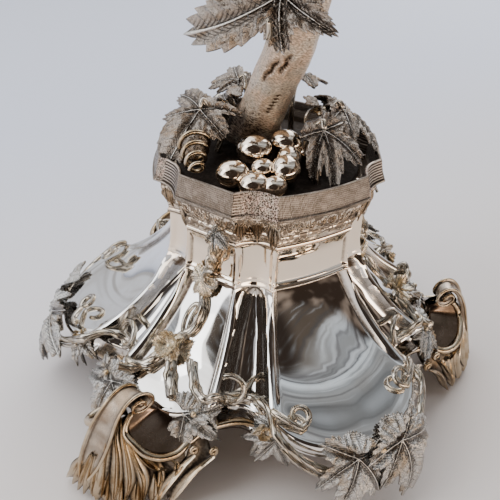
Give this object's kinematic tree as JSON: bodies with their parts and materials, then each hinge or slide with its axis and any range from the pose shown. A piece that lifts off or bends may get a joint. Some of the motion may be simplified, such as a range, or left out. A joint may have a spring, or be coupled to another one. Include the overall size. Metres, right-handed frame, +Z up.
{
  "type": "table centerpiece",
  "caption": "Silver vine centrepiece: a hollow lobed base on scrolled feet, a winding trunk with leaves and grapes, and a ring that holds a lift-out cut-glass bowl.",
  "frame": {"origin": "on the table, under the middle of the whole piece's box", "axes": "+Z up, -Y towards the front lobe, +X to the right of a viewer who faces the front lobe"},
  "size_m": [0.2838, 0.3102, 0.4991],
  "materials": {
    "polished_silver": "mirror-polished silver plate with warm grey oxide in the corners",
    "frosted_silver": "frosted cast silver plate, dark in the recesses and rubbed bright on the veins",
    "engraved_silver": "dull pewter-coloured plate with fine engraved lines",
    "bark_silver": "frosted cast bark with fine cross lines and knots",
    "brass_fastening": "plain turned brass, slightly dull",
    "cut_glass": "clear cut glass with polished facets"
  },
  "bodies": {
    "base": {"base_shell": "polished_silver", "plinth_band": "engraved_silver", "mound": "frosted_silver", "centre_rod": "brass_fastening", "centre_washer": "brass_fastening", "wing_nut": "brass_fastening", "foot_left": "frosted_silver", "foot_right": "frosted_silver", "foot_rear": "frosted_silver", "foot_nut_left": "brass_fastening", "foot_nut_right": "brass_fastening", "foot_nut_rear": "brass_fastening", "foot_vine_left": "frosted_silver", "foot_vine_right": "frosted_silver", "foot_vine_rear": "frosted_silver", "garland_left_a": "frosted_silver", "garland_left_b": "frosted_silver", "garland_right_a": "frosted_silver", "garland_right_b": "frosted_silver", "garland_rear_a": "frosted_silver", "garland_rear_b": "frosted_silver", "tip_leaves_front": "frosted_silver", "tip_leaves_right": "frosted_silver", "tip_leaves_left": "frosted_silver", "trunk": "bark_silver", "trunk_leaf": "frosted_silver", "mound_grapes": "polished_silver", "corkscrew_tendril": "polished_silver", "mound_leaf_left": "frosted_silver", "mound_leaf_front": "frosted_silver", "mound_leaf_right": "frosted_silver", "mound_leaf_rear_right": "frosted_silver", "mound_leaf_rear_left": "frosted_silver", "crown": "bark_silver", "crown_stud": "brass_fastening", "bowl_ring": "polished_silver", "branch_leaf_front": "frosted_silver", "branch_leaf_right": "frosted_silver", "branch_leaf_left": "frosted_silver", "branch_grapes_front": "polished_silver", "branch_grapes_right": "polished_silver", "branch_grapes_left": "polished_silver"},
    "bowl": {"glass_bowl": "cut_glass"}
  },
  "joints": [
    {"name": "bowl_lift", "type": "slide", "parent": "base", "child": "bowl", "axis": [0, 0, 1], "range_m": [0, 0.08]}
  ]
}
